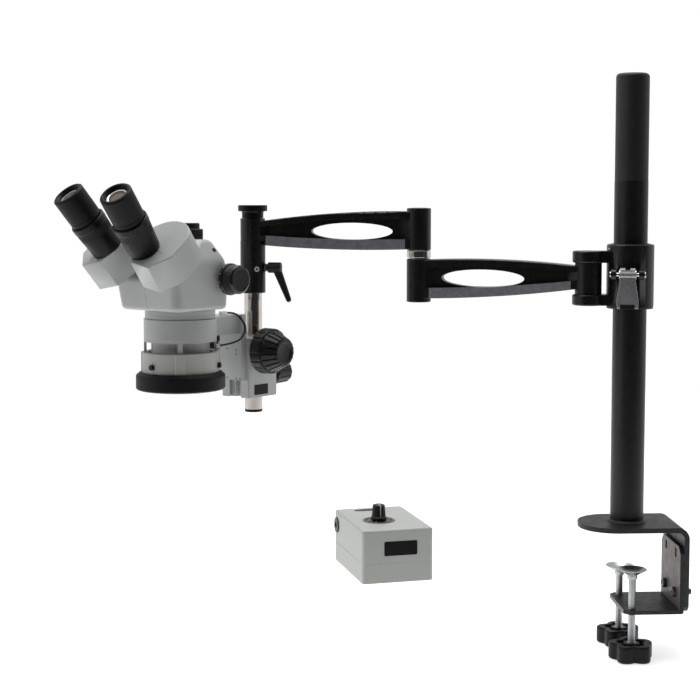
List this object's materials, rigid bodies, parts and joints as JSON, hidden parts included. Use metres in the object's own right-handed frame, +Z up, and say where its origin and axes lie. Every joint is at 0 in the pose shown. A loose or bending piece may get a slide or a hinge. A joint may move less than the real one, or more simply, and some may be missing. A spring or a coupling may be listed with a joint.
{
  "type": "stereo microscope",
  "caption": "Stereo zoom microscope on a swinging two-part arm, with a clamp-on pole, focus block, ring light and dimmer box.",
  "frame": {"origin": "where the pole's axis meets the underside of the clamp's top plate, which is the table top", "axes": "+Z up along the pole, +X out over the table edge, away from the microscope; the arms reach out along -X"},
  "size_m": [0.7465, 0.425, 0.697],
  "materials": {
    "clamp_black": "matte powder coat",
    "pole_black": "fine satin powder coat",
    "arm_black": "satin black paint on casting",
    "zinc": "bright zinc plate",
    "steel": "ground steel",
    "chrome": "polished chrome plate",
    "scope_grey": "light grey semi-gloss paint",
    "adapter_grey": "light warm grey moulding",
    "black_plastic": "moulded black plastic",
    "black_anodised": "black anodised",
    "bush_plastic": "acetal",
    "eye_rubber": "soft rubber",
    "glass": "coated lens",
    "diffuser_white": "translucent white",
    "board": "circuit board",
    "cord_black": "soft cord jacket",
    "connector_white": "nylon",
    "case_grey": "fine textured ABS"
  },
  "bodies": {
    "stand": {"clamp_bracket": "clamp_black", "clamp_jaw": "clamp_black", "jaw_bolts": "zinc", "pole_lower": "pole_black", "pole_upper": "pole_black"},
    "near_pad": {"near_clamp_pad": "zinc"},
    "near_screw": {"near_clamp_screw": "zinc", "near_star_knob": "black_plastic"},
    "far_pad": {"far_clamp_pad": "zinc"},
    "far_screw": {"far_clamp_screw": "zinc", "far_star_knob": "black_plastic"},
    "collar_bush": {"collar_bush": "bush_plastic"},
    "collar": {"pole_collar": "arm_black", "collar_pins": "steel"},
    "cam_lever": {"cam_lever": "chrome"},
    "lower_arm": {"lower_arm": "arm_black", "elbow_pin": "steel", "elbow_ring": "steel"},
    "upper_arm": {"upper_arm": "arm_black"},
    "post_holder": {"post_holder": "arm_black"},
    "swivel_knob": {"swivel_knob": "black_anodised"},
    "holder_lever": {"holder_lever": "black_plastic"},
    "post": {"scope_post": "chrome", "post_end_ring": "black_anodised"},
    "focus_block": {"focus_block": "scope_grey"},
    "block_knob": {"block_clamp_knob": "black_plastic"},
    "focus_drive": {"pinion_shaft": "steel", "focus_knobs": "black_plastic"},
    "carriage": {"focus_rack": "steel", "focus_slide": "scope_grey", "head_holder": "scope_grey", "light_adapter": "adapter_grey", "adapter_screws": "black_plastic", "ring_light_housing": "black_plastic", "ring_light_leds": "board", "light_diffuser": "diffuser_white", "light_cord": "cord_black", "cord_connector": "connector_white"},
    "ring_lock": {"holder_lock_knob": "black_plastic"},
    "head": {"head_frame": "scope_grey", "objective_lens": "glass", "right_shell": "scope_grey", "left_shell": "scope_grey", "phototube_cap": "black_plastic"},
    "zoom_drive": {"zoom_shaft": "steel", "zoom_knobs": "black_plastic"},
    "zoom_carrier": {"zoom_lens_carrier": "black_anodised"},
    "right_eye": {"right_prism_housing": "scope_grey", "right_eye_tube": "black_anodised"},
    "right_ocular": {"right_eyepiece": "eye_rubber", "right_eye_lens": "glass"},
    "left_eye": {"left_prism_housing": "scope_grey", "left_eye_tube": "black_anodised"},
    "left_ocular": {"left_eyepiece": "eye_rubber", "left_eye_lens": "glass"},
    "controller": {"controller_base": "case_grey", "controller_cover": "case_grey", "controller_board": "board", "controller_jack": "black_plastic"},
    "dimmer": {"controller_knob": "black_plastic"}
  },
  "joints": [
    {"name": "near_pad_lift", "type": "slide", "parent": "stand", "child": "near_pad", "axis": [0, 0, 1], "range_m": [-0.0121, 0.0341]},
    {"name": "near_screw_turn", "type": "hinge", "parent": "near_pad", "child": "near_screw", "pos_m": [0.00173, -0.03295, -0.1], "axis": [0, 0, 1], "range_deg": [-2160, 6120]},
    {"name": "far_pad_lift", "type": "slide", "parent": "stand", "child": "far_pad", "axis": [0, 0, 1], "range_m": [-0.0121, 0.0341]},
    {"name": "far_screw_turn", "type": "hinge", "parent": "far_pad", "child": "far_screw", "pos_m": [-0.00173, 0.03295, -0.1], "axis": [0, 0, 1], "range_deg": [-2160, 6120]},
    {"name": "collar_slide", "type": "slide", "parent": "stand", "child": "collar_bush", "axis": [0, 0, 1], "range_m": [-0.105, 0.19]},
    {"name": "collar_turn", "type": "hinge", "parent": "collar_bush", "child": "collar", "pos_m": [0, 0, 0.3], "axis": [0, 0, 1], "continuous": true},
    {"name": "cam_lever_turn", "type": "hinge", "parent": "collar", "child": "cam_lever", "pos_m": [-0.00862, -0.03217, 0.306], "axis": [-0.9659, 0.2588, 0], "range_deg": [0, 150]},
    {"name": "lower_arm_swing", "type": "hinge", "parent": "collar", "child": "lower_arm", "pos_m": [-0.05, 0, 0.3], "axis": [0, 0, 1], "range_deg": [-70, 105]},
    {"name": "elbow_swing", "type": "hinge", "parent": "lower_arm", "child": "upper_arm", "pos_m": [-0.24972, 0.06489, 0.33], "axis": [0, 0, -1], "range_deg": [-110, 120]},
    {"name": "holder_turn", "type": "hinge", "parent": "upper_arm", "child": "post_holder", "pos_m": [-0.45714, 0.09774, 0.35], "axis": [0, 0, 1], "range_deg": [-140, 60]},
    {"name": "swivel_knob_turn", "type": "hinge", "parent": "post_holder", "child": "swivel_knob", "pos_m": [-0.45714, 0.09774, 0.378], "axis": [0, 0, 1], "range_deg": [-360, 45]},
    {"name": "holder_lever_turn", "type": "hinge", "parent": "post_holder", "child": "holder_lever", "pos_m": [-0.45714, 0.09774, 0.3086], "axis": [0.9781, -0.2079, 0], "range_deg": [-90, 90]},
    {"name": "post_slide", "type": "slide", "parent": "post_holder", "child": "post", "axis": [0, 0, 1], "range_m": [-0.017, 0.014]},
    {"name": "block_slide", "type": "slide", "parent": "post", "child": "focus_block", "axis": [0, 0, 1], "range_m": [-0.016, 0.038]},
    {"name": "block_knob_turn", "type": "hinge", "parent": "focus_block", "child": "block_knob", "pos_m": [-0.43437, 0.11791, 0.173], "axis": [0.6293, 0.7771, 0], "range_deg": [-540, 0]},
    {"name": "focus_turn", "type": "hinge", "parent": "focus_block", "child": "focus_drive", "pos_m": [-0.46878, 0.08337, 0.207], "axis": [0.7771, -0.6293, 0], "range_deg": [-250, 250]},
    {"name": "focus_travel", "type": "slide", "parent": "focus_block", "child": "carriage", "axis": [0, 0, 1], "range_m": [-0.0219, 0.0219]},
    {"name": "ring_lock_turn", "type": "hinge", "parent": "carriage", "child": "ring_lock", "pos_m": [-0.57365, 0.02193, 0.243], "axis": [-0.829, 0.5592, 0], "range_deg": [-360, 0]},
    {"name": "head_turn", "type": "hinge", "parent": "carriage", "child": "head", "pos_m": [-0.538, -0.00212, 0.26], "axis": [0, 0, -1], "range_deg": [-110, 110]},
    {"name": "zoom_turn", "type": "hinge", "parent": "head", "child": "zoom_drive", "pos_m": [-0.52164, 0.01809, 0.3], "axis": [0.7771, -0.6293, 0], "range_deg": [-150, 150]},
    {"name": "zoom_travel", "type": "slide", "parent": "head", "child": "zoom_carrier", "axis": [0, 0, 1], "range_m": [-0.008, 0.008]},
    {"name": "eye_spacing_right", "type": "hinge", "parent": "head", "child": "right_eye", "pos_m": [-0.53654, -0.06137, 0.31959], "axis": [-0.3115, -0.5563, 0.7704], "range_deg": [-8, 8]},
    {"name": "right_diopter_turn", "type": "hinge", "parent": "right_eye", "child": "right_ocular", "pos_m": [-0.58636, -0.12123, 0.38342], "axis": [-0.3115, -0.5563, 0.7704], "range_deg": [-120, 120]},
    {"name": "eye_spacing_left", "type": "hinge", "parent": "head", "child": "left_eye", "pos_m": [-0.59627, -0.013, 0.31959], "axis": [-0.4794, -0.4203, 0.7704], "range_deg": [-8, 8]},
    {"name": "left_diopter_turn", "type": "hinge", "parent": "left_eye", "child": "left_ocular", "pos_m": [-0.64446, -0.07418, 0.38342], "axis": [-0.4794, -0.4203, 0.7704], "range_deg": [-120, 120]},
    {"name": "controller_lift", "type": "slide", "parent": "stand", "child": "controller", "axis": [0, 0, 1], "range_m": [0, 0.05]},
    {"name": "dimmer_turn", "type": "hinge", "parent": "controller", "child": "dimmer", "pos_m": [-0.30443, -0.22551, 0.06], "axis": [0, 0, 1], "range_deg": [-150, 150]}
  ],
  "couplings": [
    {"joint": "near_pad_lift", "follows": "near_screw_turn", "m_per_rad": 0.00031831},
    {"joint": "far_pad_lift", "follows": "far_screw_turn", "m_per_rad": 0.00031831},
    {"joint": "focus_travel", "follows": "focus_turn", "m_per_rad": -0.005},
    {"joint": "zoom_travel", "follows": "zoom_turn", "m_per_rad": 0.003},
    {"joint": "eye_spacing_left", "follows": "eye_spacing_right", "ratio": -1}
  ]
}
